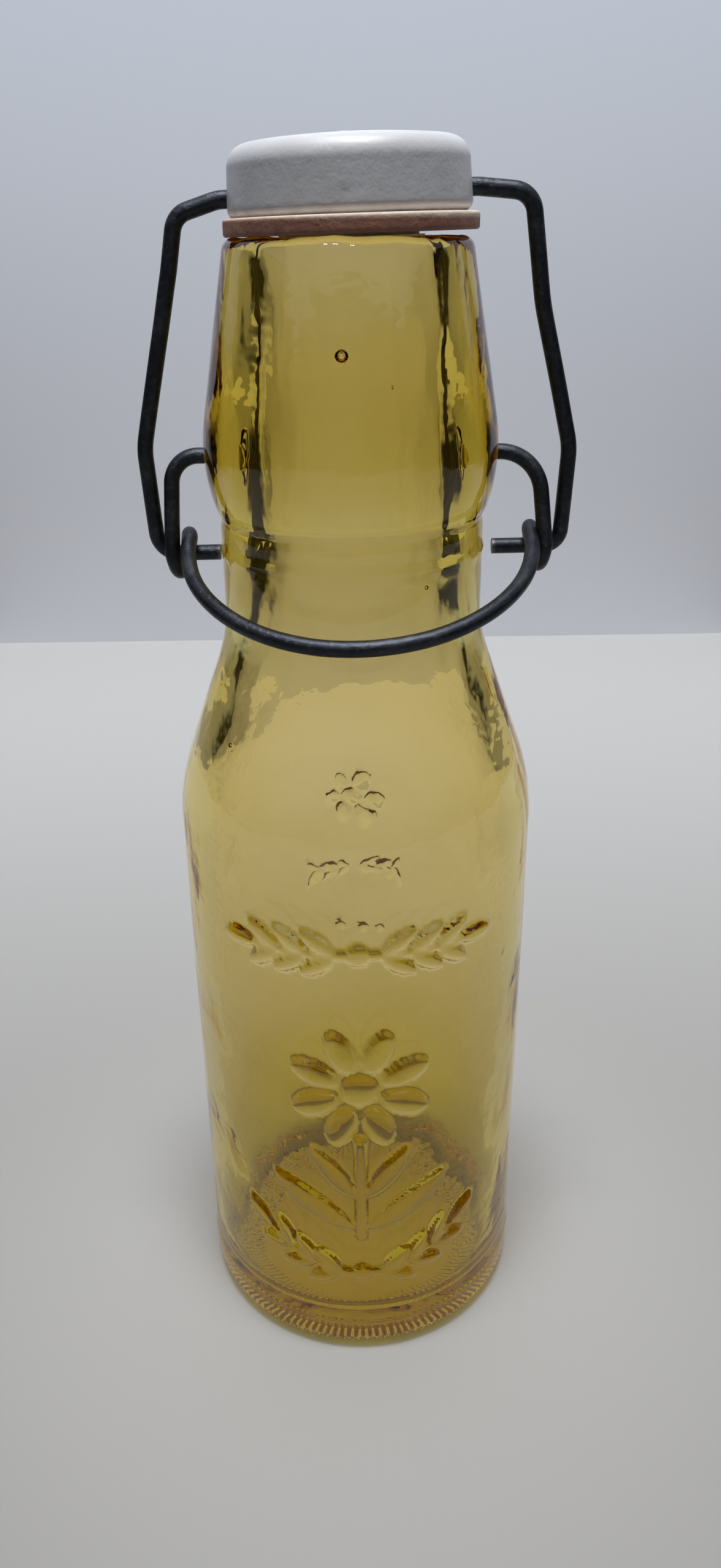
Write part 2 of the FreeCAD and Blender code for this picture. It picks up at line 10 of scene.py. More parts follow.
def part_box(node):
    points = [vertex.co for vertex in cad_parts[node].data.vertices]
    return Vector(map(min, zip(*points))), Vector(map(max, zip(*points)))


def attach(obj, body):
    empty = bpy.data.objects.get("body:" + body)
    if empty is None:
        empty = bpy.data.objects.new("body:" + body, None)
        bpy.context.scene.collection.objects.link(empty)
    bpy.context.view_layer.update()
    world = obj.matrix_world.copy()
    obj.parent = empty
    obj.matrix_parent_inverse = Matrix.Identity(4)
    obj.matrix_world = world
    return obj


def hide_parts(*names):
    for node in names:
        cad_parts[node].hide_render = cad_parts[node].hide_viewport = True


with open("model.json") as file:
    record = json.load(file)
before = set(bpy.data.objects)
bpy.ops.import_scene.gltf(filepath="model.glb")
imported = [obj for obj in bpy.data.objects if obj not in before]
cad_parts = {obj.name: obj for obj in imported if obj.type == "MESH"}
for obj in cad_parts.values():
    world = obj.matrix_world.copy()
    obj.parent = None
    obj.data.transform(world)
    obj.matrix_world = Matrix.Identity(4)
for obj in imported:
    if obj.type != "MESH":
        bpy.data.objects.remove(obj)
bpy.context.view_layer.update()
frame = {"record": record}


# Glass bottle: one piece of pale amber glass, pressed in a two-part mould, so its wall is thick and uneven.
# A flower between two sprays of leaves stands out on its front and a small posy on its back. Its standing
# ring is knurled, and each side of the collar has a dimple with a blind socket for the lever's end.
mm = 0.001
glass_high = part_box("glass_bottle")[1]
body_radius = glass_high.x
lip_height = glass_high.z
rest_inner = 21.0 * mm
heel_radius = 3.5 * mm
push_up = 2.0 * mm
body_height = 99.6 * mm
shoulder_radius = 38.0 * mm
sweep_radius = 27.4 * mm
shoulder_slope = math.radians(20)
neck_radius = 20.4 * mm
neck_length = 13.5 * mm
collar_rise = 10.0 * mm
collar_swell = 1.9 * mm
collar_taper = math.radians(10)
lip_round = 2.0 * mm
mouth_round = 1.5 * mm
floor_height = 6.0 * mm
floor_round = 5.5 * mm
shoulder_wall = 4.2 * mm
inner_radius_low = 26.5 * mm
inner_radius_high = 25.6 * mm
bore_radius_low = 14.0 * mm
bore_radius_high = 12.7 * mm
bore_sweep = 32.0 * mm
joint_places = {joint["name"]: Vector(joint["pos_m"]) for joint in frame["record"]["behaviour"]["joints"]}
pivot_height = joint_places["lever_swing"].z
wire_radius = 1.2 * mm
socket_radius = wire_radius + 0.15 * mm
collar_reach = neck_radius + collar_swell
socket_floor = collar_reach - 3.8 * mm


def straight(start, end, pitch):
    """Points of an outline along a straight stretch, without its end."""
    steps = max(1, round(math.dist(start, end) / pitch))
    return [tuple(a + (b - a) * step / steps for a, b in zip(start, end)) for step in range(steps)]


def rounded(centre, radius, first, last, pitch):
    """Points of an outline along an arc between two angles, without its end."""
    steps = max(3, round(abs(last - first) * radius / pitch))
    turns = [first + (last - first) * step / steps for step in range(steps)]
    return [(centre[0] + radius * math.cos(turn), centre[1] + radius * math.sin(turn)) for turn in turns]


def slope_between(wide, narrow, low, first_radius, second_radius, lean):
    """Centres of the two arcs, and the ends of the cone between them, of a shoulder that leans inwards."""
    fall = (wide - narrow) / math.tan(lean) + (first_radius + second_radius) * math.tan(lean / 2)
    first = (wide - first_radius, low)
    second = (narrow + second_radius, low + fall)
    cone_foot = (first[0] + first_radius * math.cos(lean), first[1] + first_radius * math.sin(lean))
    cone_top = (second[0] - second_radius * math.cos(lean), second[1] - second_radius * math.sin(lean))
    return first, second, cone_foot, cone_top


quarter = math.pi / 2
shoulder_centre, sweep_centre, cone_foot, cone_top = slope_between(
    body_radius, neck_radius, body_height, shoulder_radius, sweep_radius, shoulder_slope
)
step_height = sweep_centre[1] + neck_length
collar_round = (collar_swell**2 + collar_rise**2) / (2 * collar_swell)
collar_centre = (neck_radius + collar_swell - collar_round, step_height + collar_rise)
taper_foot = (
    collar_centre[0] + collar_round * math.cos(collar_taper),
    collar_centre[1] + collar_round * math.sin(collar_taper),
)
lip_level = lip_height - lip_round
taper_rise = lip_level + lip_round * math.sin(collar_taper) - taper_foot[1]
taper_end = (taper_foot[0] - taper_rise * math.tan(collar_taper), taper_foot[1] + taper_rise)
lip_centre = (taper_end[0] - lip_round * math.cos(collar_taper), lip_level)
dish_radius = (rest_inner**2 + push_up**2) / (2 * push_up)
dish_turn = math.asin(rest_inner / dish_radius)
rest_outer = body_radius - heel_radius
ring_height = 7.6 * mm
relief_low, relief_high = 14.0 * mm, 96.0 * mm

outer_outline = rounded((0, push_up - dish_radius), dish_radius, quarter, quarter - dish_turn, 2.2 * mm)
outer_outline += straight((rest_inner, 0), (rest_outer, 0), 1.1 * mm)
outer_outline += rounded((rest_outer, heel_radius), heel_radius, -quarter, 0, 0.6 * mm)
outer_outline += straight((body_radius, heel_radius), (body_radius, ring_height - mm), 0.8 * mm)
outer_outline += straight((body_radius, ring_height - mm), (body_radius, ring_height + mm), 0.25 * mm)
outer_outline += straight((body_radius, ring_height + mm), (body_radius, relief_low), 0.9 * mm)
outer_outline += straight((body_radius, relief_low), (body_radius, relief_high), 0.56 * mm)
outer_outline += straight((body_radius, relief_high), (body_radius, body_height), 1.7 * mm)
outer_outline += rounded(shoulder_centre, shoulder_radius, 0, shoulder_slope, 1.6 * mm)
outer_outline += straight(cone_foot, cone_top, 1.6 * mm)
outer_outline += rounded(sweep_centre, sweep_radius, math.pi + shoulder_slope, math.pi, 1.6 * mm)
outer_outline += straight((neck_radius, sweep_centre[1]), (neck_radius, step_height), 0.8 * mm)
step_turn = math.asin(collar_rise / collar_round)
outer_outline += rounded(collar_centre, collar_round, -step_turn, collar_taper, 1.3 * mm)
outer_outline += straight(taper_foot, taper_end, 1.6 * mm)
outer_outline += rounded(lip_centre, lip_round, collar_taper, quarter, 0.4 * mm)

inner_shoulder_radius = shoulder_radius - shoulder_wall
inner_shoulder_centre, inner_sweep_centre, inner_cone_foot, inner_cone_top = slope_between(
    inner_radius_high, bore_radius_low, body_height, inner_shoulder_radius, bore_sweep, shoulder_slope
)
mouth_centre = (bore_radius_high + mouth_round, lip_height - mouth_round)
wall_foot = (inner_radius_low, floor_height + floor_round)
floor_edge = inner_radius_low - floor_round
inner_outline = straight((lip_centre[0], lip_height), (mouth_centre[0], lip_height), 0.8 * mm)
inner_outline += rounded(mouth_centre, mouth_round, quarter, math.pi, 0.4 * mm)
bore_top, bore_foot = (bore_radius_high, mouth_centre[1]), (bore_radius_low, inner_sweep_centre[1])
inner_outline += straight(bore_top, bore_foot, 2 * mm)
inner_outline += rounded(inner_sweep_centre, bore_sweep, math.pi, math.pi + shoulder_slope, 2 * mm)
inner_outline += straight(inner_cone_top, inner_cone_foot, 2 * mm)
inner_outline += rounded(inner_shoulder_centre, inner_shoulder_radius, shoulder_slope, 0, 2 * mm)
inner_outline += straight((inner_radius_high, body_height), wall_foot, 2.2 * mm)
inner_outline += rounded((floor_edge, wall_foot[1]), floor_round, 0, -quarter, 1.3 * mm)
inner_outline += straight((floor_edge, floor_height), (0, floor_height), 2.8 * mm)


def pearl(across, up, centre, radius):
    """Height, from 0 to 1, of a round bead, over points of the glass laid out flat."""
    painted_pool_distance = ((across - centre[0]) ** 2 + (up - centre[1]) ** 2) / radius**2
    return numpy.sqrt(numpy.clip(1 - painted_pool_distance, 0, None))


def leaf(across, up, root, lean, length, width, bluntness=0.8):
    """Height of a rounded leaf, which starts at its root and is lower towards its points."""
    along = ((across - root[0]) * math.cos(lean) + (up - root[1]) * math.sin(lean)) / length
    aside = (up - root[1]) * math.cos(lean) - (across - root[0]) * math.sin(lean)
    fullness = numpy.clip(4 * along * (1 - along), 1e-6, None) ** bluntness
    crown = numpy.clip(1 - (2 * aside / (width * fullness)) ** 2, 0, None)
    return numpy.sqrt(crown * fullness)


def spray(across, up, middle, curl):
    """Height of a bead with leaves to both sides, on a twig that curls upwards by a share of its length."""
    span = 17.0 * mm
    twig_half = 0.8 * mm
    twig_height = 0.7
    bead_radius = 2.1 * mm
    leaf_length, leaf_width = 7.2 * mm, 3.1 * mm
    leaf_spread = 0.6
    leaves = [(place, spread) for place in (3.4, 8.0, 12.6) for spread in (leaf_spread, -leaf_spread)]
    twig = numpy.clip(1 - ((up - middle - curl * across**2 / span) / twig_half) ** 2, 0, None)
    height = numpy.where(numpy.abs(across) < span, twig_height * numpy.sqrt(twig), 0)
    height = numpy.maximum(height, pearl(across, up, (0, middle), bead_radius))
    for side in (-1, 1):
        for place, spread in leaves + [(16.6, 0)]:
            root = (side * place * mm, middle + curl * (place * mm) ** 2 / span)
            outward = math.atan(2 * curl * place * mm / span) + spread
            heading = outward if side > 0 else math.pi - outward
            height = numpy.maximum(height, leaf(across, up, root, heading, leaf_length, leaf_width))
    return height


def flower(across, up):
    """Height of a flower on a stem with four leaves, and of the sprays above and below it."""
    head, foot = 62.0 * mm, 29.0 * mm
    upper_spray, lower_spray = 88.6 * mm, 20.5 * mm
    lower_curl = 0.45
    stem_half = 1.2 * mm
    heart_radius = 3.2 * mm
    petals = 8
    petal_root = 4.0 * mm
    petal_length, petal_width = 8.6 * mm, 5.0 * mm
    stem = numpy.clip(1 - (across / stem_half) ** 2, 0, None)
    height = numpy.where((up > foot) & (up < head - 10 * mm), numpy.sqrt(stem), 0)
    height = numpy.maximum(height, pearl(across, up, (0, head), heart_radius))
    for petal in range(petals):
        turn = 2 * math.pi * (petal + 0.5) / petals
        root = (petal_root * math.cos(turn), head + petal_root * math.sin(turn))
        height = numpy.maximum(height, leaf(across, up, root, turn, petal_length, petal_width, 0.5))
    for side in (-1, 1):
        for climb, lean, length, width in ((2.0, 0.62, 18.5, 5.2), (9.5, 0.95, 13.0, 4.2)):
            root = (side * 0.9 * mm, foot + climb * mm)
            heading = lean if side > 0 else math.pi - lean
            height = numpy.maximum(height, leaf(across, up, root, heading, length * mm, width * mm, 0.7))
    height = numpy.maximum(height, spray(across, up, upper_spray, 0.0))
    return numpy.maximum(height, spray(across, up, lower_spray, lower_curl))


def posy(across, up):
    """Height of the small design on the back: a round blossom over a straight sprig and three beads."""
    blossom, sprig, beads = 87.0 * mm, 71.0 * mm, 58.0 * mm
    petals = 6
    petal_root = 2.0 * mm
    bead_radius = 1.3 * mm
    leaf_spread = 0.5
    height = pearl(across, up, (0, blossom), 1.7 * mm)
    for petal in range(petals):
        turn = 2 * math.pi * petal / petals
        root = (petal_root * math.cos(turn), blossom + petal_root * math.sin(turn))
        height = numpy.maximum(height, leaf(across, up, root, turn, 4.2 * mm, 3.0 * mm, 0.5))
    for side in (-1, 1):
        for place in (1.2, 4.6, 8.0):
            for spread in (-leaf_spread, leaf_spread):
                heading = spread if side > 0 else math.pi - spread
                root = (side * place * mm, sprig)
                height = numpy.maximum(height, leaf(across, up, root, heading, 4.6 * mm, 2.0 * mm))
        height = numpy.maximum(height, pearl(across, up, (side * 4.5 * mm, beads), bead_radius))
    return numpy.maximum(height, pearl(across, up, (0, beads), bead_radius))


columns = 240
heel_columns = 720
inner_columns = 120
front_turn = 0.78
back_turn = math.pi - 0.48
relief_rise = 1.15 * mm
back_rise = 0.7 * mm
knurls = 120
knurl_depth = 0.28 * mm
seam_rise = 0.035 * mm
ring_rise = 0.16 * mm
skin_rise, skin_scale = 0.05 * mm, 11.0 * mm
dish_scale = 3.2 * mm
wave_scale, streak_scale = 24.0 * mm, 9.0 * mm


def round_turns(steps):
    """Equal turns round the bottle, from its back by its front to its back."""
    return [2 * math.pi * step / steps - math.pi for step in range(steps)]


def swelling(value, centre, half_width):
    """A smooth bump, from 0 to 1."""
    return math.exp(-(((value - centre) / half_width) ** 2))


def outer_spot(radius, height, turn):
    """A point of the pressed surface, which stands out a little from its outline."""
    facing = Vector((math.sin(turn), -math.cos(turn), 0))
    spot = radius * facing + Vector((0, 0, height))
    rise = skin_rise * noise.noise(spot / skin_scale) * min(1, radius / rest_inner)
    if radius < rest_inner:
        lumps = (0.15 + 0.2 * noise.noise(spot / dish_scale)) * mm
        spot.z += lumps * min(1, 6 * (1 - radius / rest_inner))
    if rest_inner <= radius and height < heel_radius:
        grooved = (0.5 + 0.5 * math.cos(knurls * turn)) ** 2 * knurl_depth
        spot.z += grooved * (1 - height / heel_radius) ** 2
        rise -= grooved * (height / heel_radius) * (1 - height / heel_radius) * 4
    if radius > 0.7 * neck_radius and height > heel_radius:
        rise += seam_rise * swelling((abs(turn) - quarter) * radius, 0, 0.5 * mm)
    if radius > 0.99 * body_radius:
        rise += ring_rise * swelling(height, ring_height, 0.4 * mm)
    if radius < 1.01 * neck_radius and height > cone_top[1]:
        rise += 1.8 * ring_rise * swelling(height, step_height - 5.0 * mm, 0.6 * mm)
        rise -= 1.5 * ring_rise * swelling(height, step_height, 0.9 * mm)
    return spot + rise * facing


def inner_spot(radius, height, turn):
    """A point of the inner surface, which no mould touched and which wanders."""
    facing = Vector((math.sin(turn), -math.cos(turn), 0))
    spot = radius * facing + Vector((0, 0, height))
    if height > lip_height - 0.5 * mm:
        return spot
    round_about = facing + Vector((0, 0, height / wave_scale))
    slow = noise.noise(1.3 * round_about)
    quick = noise.noise(3.1 * round_about + Vector((7.0, 2.0, 5.0)))
    streak = noise.noise(Vector((9 * facing.x, 9 * facing.y, height / streak_scale)))
    waves = 0.42 * slow + 0.18 * quick + 0.08 * streak * (height > cone_top[1])
    return spot + waves * mm * min(1, radius / (10 * mm)) * facing


def strip(built, lower, upper):
    """Triangles between two loops of turns and vertices, which may differ in number."""
    lower = lower + [(lower[0][0] + 2 * math.pi, lower[0][1])]
    upper = upper + [(upper[0][0] + 2 * math.pi, upper[0][1])]
    low = up = 0
    while low + up < len(lower) + len(upper) - 2:
        if up == len(upper) - 1 or (low < len(lower) - 1 and lower[low + 1][0] <= upper[up + 1][0]):
            corners = (lower[low][1], lower[low + 1][1], upper[up][1])
            low += 1
        else:
            corners = (lower[low][1], upper[up + 1][1], upper[up][1])
            up += 1
        if len(set(corners)) == 3:
            built.faces.new(corners)


shell = bmesh.new()
even_turns = round_turns(columns)
heel_turns = round_turns(heel_columns)
inner_turns = round_turns(inner_columns)
halfway = [turn + math.pi / columns for turn in even_turns]
fine_turns = sorted(even_turns + [turn for turn in halfway if not front_turn < abs(turn) < back_turn])
laid_out = numpy.array(fine_turns) * body_radius
laid_behind = (numpy.array(fine_turns) % (2 * math.pi) - math.pi) * body_radius
loops = []
for radius, height in outer_outline[1:]:
    if relief_low < height < relief_high:
        level = numpy.full_like(laid_out, height)
        grown = (relief_rise * flower(laid_out, level) + back_rise * posy(laid_behind, level)) / radius
        spots = [outer_spot(radius, height, turn) for turn in fine_turns]
        spots = [spot + rise * spot.xy.to_3d() for spot, rise in zip(spots, grown.tolist())]
        loops.append([(turn, shell.verts.new(spot)) for turn, spot in zip(fine_turns, spots)])
    else:
        turns = heel_turns if rest_inner <= radius and height < heel_radius + mm else even_turns
        loops.append([(turn, shell.verts.new(outer_spot(radius, height, turn))) for turn in turns])
for radius, height in inner_outline:
    loops.append([(turn, shell.verts.new(inner_spot(radius, height, turn))) for turn in inner_turns])
for lower, upper in zip(loops, loops[1:]):
    strip(shell, lower, upper)
strip(shell, [(-math.pi, shell.verts.new((0, 0, push_up)))], loops[0])
strip(shell, loops[-1], [(-math.pi, shell.verts.new((0, 0, floor_height)))])


def finished(name, built):
    """A smooth object at the origin from a bmesh, which is used up."""
    mesh = bpy.data.meshes.new(name)
    built.to_mesh(mesh)
    built.free()
    mesh.shade_smooth()
    made = bpy.data.objects.new(name, mesh)
    bpy.context.scene.collection.objects.link(made)
    return made


def carved(piece, cutter):
    """Cuts the form of a bmesh, which is used up, out of a piece."""
    tool = finished("cutter", cutter)
    cut = piece.modifiers.new("cut", "BOOLEAN")
    cut.operation = "DIFFERENCE"
    cut.solver = "EXACT"
    cut.object = tool
    kept = bpy.data.meshes.new_from_object(piece.evaluated_get(bpy.context.evaluated_depsgraph_get()))
    piece.modifiers.remove(cut)
    piece.data = kept
    bpy.data.objects.remove(tool)
    kept.shade_smooth()
    kept.set_sharp_from_angle(angle=math.radians(70))


def bore(cutter, radius, start, end, place):
    """Adds a round bar to a cutter, along X from one distance to another of a place."""
    seat = place @ Matrix.Translation(((start + end) / 2, 0, 0)) @ Matrix.Rotation(quarter, 4, "Y")
    form = {"segments": 32, "radius1": radius, "radius2": radius, "depth": abs(end - start)}
    bmesh.ops.create_cone(cutter, cap_ends=True, matrix=seat, **form)


glass = finished("glass", shell)
pivots = Matrix.Translation((0, 0, pivot_height))
dimple_size = (2.4, 1.9, 3.3, 1)
dimples = bmesh.new()
sockets = bmesh.new()
for side in (-1, 1):
    seat = pivots @ Matrix.Translation((side * collar_reach, 0, 0)) @ Matrix.Diagonal(dimple_size)
    bmesh.ops.create_uvsphere(dimples, u_segments=32, v_segments=20, radius=mm, matrix=seat)
    bore(sockets, socket_radius, side * socket_floor, side * (collar_reach + 2 * collar_swell), pivots)
carved(glass, dimples)
carved(glass, sockets)

# Seed bubbles in the glass: their turn from the front, depth under the surface, height and radius.
seeds = bmesh.new()
seeds.from_mesh(glass.data)
for turn, depth, height, size in (
    (-0.056, 2.0 * mm, 175.3 * mm, 0.95 * mm),
    (0.62, 3.0 * mm, 143.0 * mm, 0.35 * mm),
    (-0.9, 2.0 * mm, 118.0 * mm, 0.4 * mm),
    (2.6, 3.0 * mm, 165.0 * mm, 0.5 * mm),
    (0.30, 2.0 * mm, 92.0 * mm, 0.3 * mm),
):
    outside = [(abs(z - height), radius) for radius, z in outer_outline if radius > neck_radius / 2]
    reach = min(outside)[1] - depth
    seat = Matrix.Translation((reach * math.sin(turn), -reach * math.cos(turn), height))
    bubble = bmesh.ops.create_icosphere(seeds, subdivisions=2, radius=size, matrix=seat)
    bubble_faces = {face for vert in bubble["verts"] for face in vert.link_faces}
    bmesh.ops.reverse_faces(seeds, faces=list(bubble_faces))
seeds.to_mesh(glass.data)
seeds.free()
glass.data.shade_smooth()
glass.data.set_sharp_from_angle(angle=math.radians(70))


class Tone:
    """One socket among a material's nodes. A sum written on it adds Math nodes."""

    def __init__(self, socket):
        self.socket = socket

    def node(self, kind, settings, inputs, output=0):
        """Adds a node: its settings first, then the values or links of its sockets."""
        tree = self.socket.id_data
        made = tree.nodes.new(kind)
        for name, value in settings.items():
            setattr(made, name, value)
        for name, value in inputs.items():
            if isinstance(value, Tone):
                tree.links.new(value.socket, made.inputs[name])
            else:
                made.inputs[name].default_value = value
        return Tone(made.outputs[output])

    def math(self, operation, first, second):
        return self.node("ShaderNodeMath", {"operation": operation}, {0: first, 1: second})

    def __add__(self, other):
        return self.math("ADD", self, other)

    __radd__ = __add__

    def __sub__(self, other):
        return self.math("SUBTRACT", self, other)

    def __rsub__(self, other):
        return self.math("SUBTRACT", other, self)

    def __mul__(self, other):
        return self.math("MULTIPLY", self, other)

    __rmul__ = __mul__

    def over(self, low, high):
        """0 below a low value, 1 above a high one, and smooth between."""
        stretch = {0: self, 1: low, 2: high}
        return self.node("ShaderNodeMapRange", {"interpolation_type": "SMOOTHSTEP"}, stretch)

    def axis(self, name):
        """One axis of a place."""
        return self.node("ShaderNodeSeparateXYZ", {}, {"Vector": self}, name)

    def stretched(self, scale):
        """The same place, stretched along its axes."""
        return self.node("ShaderNodeVectorMath", {"operation": "MULTIPLY"}, {0: self, 1: scale})

    def grain(self, scale, detail=2.0, roughness=0.5):
        """Noise over a place."""
        sockets = {"Vector": self, "Scale": scale, "Detail": detail, "Roughness": roughness}
        return self.node("ShaderNodeTexNoise", {}, sockets)

    def between(self, first, second):
        """A colour between two others, by this value."""
        return self.node("ShaderNodeMix", {"data_type": "RGBA"}, {0: self, 6: first, 7: second}, output=2)

    def bumped(self, distance):
        """A normal with this value as its relief."""
        return self.node("ShaderNodeBump", {}, {"Height": self, "Distance": distance})

    def feed(self, target):
        self.socket.id_data.links.new(self.socket, target)


def new_finish(name):
    """A material, the place on the piece that its patterns follow, and its main shader."""
    material = bpy.data.materials.new(name)
    material.use_nodes = True
    nodes = material.node_tree.nodes
    place = Tone(nodes.new("ShaderNodeTexCoord").outputs["Object"])
    return material, place, nodes["Principled BSDF"]


# The glass looks darker and more amber towards its base: partly an amber tint of the glass, partly painted
# shade that stands for the bottle's shadow on the floor behind, seen through the body.
amber_glass, place, shader = new_finish("amber_glass")
level = place.axis("Z")
clearer_with_less_painted_shade = level.over(15.0 * mm, 102.0 * mm)
less_deep = level.over(20.0 * mm, 60.0 * mm)
deep_amber_and_painted_shade = less_deep.between((0.80, 0.71, 0.18, 1), (0.80, 0.71, 0.46, 1))
clearer_with_less_painted_shade.between(deep_amber_and_painted_shade, (1.0, 0.94, 0.90, 1)).feed(shader.inputs["Base Color"])
shader.inputs["Transmission Weight"].default_value = 1.0
shader.inputs["IOR"].default_value = 1.52
smudge = place.grain(55.0, 4.0, 0.6).over(0.52, 0.74)
fine_dust = place.grain(900.0, 2.0).over(0.6, 0.8)
(0.012 + 0.05 * smudge + 0.02 * fine_dust).feed(shader.inputs["Roughness"])
ripple = place.stretched((1.0, 1.0, 0.45)).grain(120.0, 1.0)
orange_peel = place.grain(420.0, 1.0)
(ripple + 0.18 * orange_peel).bumped(0.00022).feed(shader.inputs["Normal"])
tint = amber_glass.node_tree.nodes.new("ShaderNodeVolumeAbsorption")
tint.inputs["Color"].default_value = (0.895, 0.805, 0.10, 1)
tint.inputs["Density"].default_value = 130.0
amber_output = amber_glass.node_tree.nodes["Material Output"]
amber_glass.node_tree.links.new(tint.outputs["Volume"], amber_output.inputs["Volume"])
from_lamp = place.node("ShaderNodeLightPath", {}, {}, "Is Shadow Ray")
let_through = place.node("ShaderNodeBsdfTransparent", {}, {"Color": (0.78, 0.78, 0.77, 1)})
glass_or_lit = {0: from_lamp, 1: Tone(shader.outputs[0]), 2: let_through}
place.node("ShaderNodeMixShader", {}, glass_or_lit).feed(amber_output.inputs["Surface"])

# Light bounces many times inside such thick glass before it leaves.
bounces = 32
bpy.context.scene.cycles.max_bounces = bounces
bpy.context.scene.cycles.glossy_bounces = bounces
bpy.context.scene.cycles.transmission_bounces = bounces
glass.data.materials.clear()
glass.data.materials.append(amber_glass)
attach(glass, "bottle")
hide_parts("glass_bottle")


# Lever: one bent steel wire that closes the bottle. Its ends turn in the glass sockets, each side makes a
# one-turn eye round the bail's pin, and the bow in front is the handle. The wire is drawn, darkened and
# worn, and bent by hand, so that its two sides differ.
pin_height = joint_places["bail_swing"].z
lever_throw = pivot_height - pin_height
eye_outer = collar_reach + 7.2 * mm
eye_inner = eye_outer - 2 * wire_radius - 0.6 * mm
eye_radius = 2 * wire_radius + 0.45 * mm
handle_droop = math.radians(20)
handle_leg = 2.3 * mm
pin_tilt = 0.008
bow_tilt = 0.03
bend_steps = 28
wire_pitch = 0.45 * mm
wire_sides = 20
eye_steps = 30
hand_wobble = 0.14 * mm
wobble_scale = 75.0


def wire_tree():
    """Geometry nodes that turn a path of corners into a bent wire of round section."""
    tree = bpy.data.node_groups.new("bent_wire", "GeometryNodeTree")
    tree.interface.new_socket("Path", in_out="INPUT", socket_type="NodeSocketGeometry")
    for name, kind in (("Wire Radius", "NodeSocketFloat"), ("Unevenness", "NodeSocketFloat")):
        tree.interface.new_socket(name, in_out="INPUT", socket_type=kind)
    tree.interface.new_socket("Steel", in_out="INPUT", socket_type="NodeSocketMaterial")
    tree.interface.new_socket("Wire", in_out="OUTPUT", socket_type="NodeSocketGeometry")

    def add(kind, settings, links):
        made = tree.nodes.new(kind)
        for name, value in settings.items():
            setattr(made, name, value)
        for name, value in links.items():
            if isinstance(value, bpy.types.NodeSocket):
                tree.links.new(value, made.inputs[name])
            else:
                made.inputs[name].default_value = value
        return made

    entry = tree.nodes.new("NodeGroupInput")
    bend = add("GeometryNodeInputNamedAttribute", {"data_type": "FLOAT"}, {"Name": "bend_radius"})
    path = add("GeometryNodeMeshToCurve", {}, {"Mesh": entry.outputs["Path"]})
    bent = add(
        "GeometryNodeFilletCurve",
        {"mode": "POLY"},
        {
            "Curve": path.outputs[0],
            "Count": bend_steps,
            "Radius": bend.outputs["Attribute"],
            "Limit Radius": True,
        },
    )
    even = add(
        "GeometryNodeResampleCurve",
        {"mode": "LENGTH"},
        {"Curve": bent.outputs[0], "Length": wire_pitch},
    )
    spot = add("GeometryNodeInputPosition", {}, {})
    wander = add(
        "ShaderNodeTexNoise",
        {},
        {"Vector": spot.outputs[0], "Scale": wobble_scale, "Detail": 1.0},
    )
    centred = add(
        "ShaderNodeVectorMath",
        {"operation": "SUBTRACT"},
        {0: wander.outputs["Color"], 1: (0.5, 0.5, 0.5)},
    )
    offset = add(
        "ShaderNodeVectorMath",
        {"operation": "SCALE"},
        {0: centred.outputs[0], "Scale": entry.outputs["Unevenness"]},
    )
    uneven = add("GeometryNodeSetPosition", {}, {"Geometry": even.outputs[0], "Offset": offset.outputs[0]})
    measure = add("GeometryNodeSplineParameter", {}, {})
    marked = add(
        "GeometryNodeStoreNamedAttribute",
        {"data_type": "FLOAT", "domain": "POINT"},
        {"Geometry": uneven.outputs[0], "Name": "along", "Value": measure.outputs["Factor"]},
    )
    section = add(
        "GeometryNodeCurvePrimitiveCircle",
        {},
        {"Resolution": wire_sides, "Radius": entry.outputs["Wire Radius"]},
    )
    tube = add(
        "GeometryNodeCurveToMesh",
        {},
        {"Curve": marked.outputs[0], "Profile Curve": section.outputs[0], "Fill Caps": True},
    )
    real = add("GeometryNodeRealizeInstances", {}, {"Geometry": tube.outputs[0]})
    steel = add(
        "GeometryNodeSetMaterial",
        {},
        {"Geometry": real.outputs[0], "Material": entry.outputs["Steel"]},
    )
    result = tree.nodes.new("NodeGroupOutput")
    tree.links.new(steel.outputs[0], result.inputs["Wire"])
    return tree


bent_wire = wire_tree()


def make_wire(name, corners, steel):
    """A wire through corners, each a place and the radius of its bend."""
    mesh = bpy.data.meshes.new(name + "_path")
    mesh.from_pydata([spot for spot, _ in corners], [(a, a + 1) for a in range(len(corners) - 1)], [])
    bends = mesh.attributes.new("bend_radius", "FLOAT", "POINT")
    for point, (_, radius) in zip(bends.data, corners):
        point.value = radius
    wire = bpy.data.objects.new(name, mesh)
    bpy.context.scene.collection.objects.link(wire)
    bending = wire.modifiers.new("bent_wire", "NODES")
    bending.node_group = bent_wire
    values = {"Wire Radius": wire_radius, "Unevenness": hand_wobble, "Steel": steel}
    for item in bent_wire.interface.items_tree:
        if item.in_out == "INPUT" and item.name in values:
            bending[item.identifier] = values[item.name]
    made = bpy.data.meshes.new_from_object(wire.evaluated_get(bpy.context.evaluated_depsgraph_get()))
    wire.modifiers.remove(bending)
    wire.data = made
    made.shade_smooth()
    made.set_sharp_from_angle(angle=math.radians(50))
    return wire


def lever_side(side, corner, corner_bend, outer, inner, bow_bend):
    """Corners of one side of the lever, from its end in the glass to its corner of the bow."""
    entry_turn = -math.asin(eye_radius / lever_throw)
    exit_turn = 1.5 * math.pi + handle_droop
    wire_end = socket_floor + 0.4 * mm
    flat = [(side * wire_end, 0, pivot_height, 0.0), (side * corner, 0, pivot_height, corner_bend)]
    for step in range(eye_steps + 1):
        turn = entry_turn + (exit_turn - entry_turn) * step / eye_steps
        x = side * (outer + (inner - outer) * step / eye_steps)
        lift = pin_tilt * x - eye_radius * math.sin(turn)
        flat.append((x, -eye_radius * math.cos(turn), pin_height + lift, 0.0))
    x, y, z, bend = flat[-1]
    reach = handle_leg + bow_bend
    fall = reach * math.sin(handle_droop) - bow_tilt * x
    flat.append((x, y - reach * math.cos(handle_droop), z - fall, bow_bend))
    return [(Vector(spot), bend) for *spot, bend in flat]


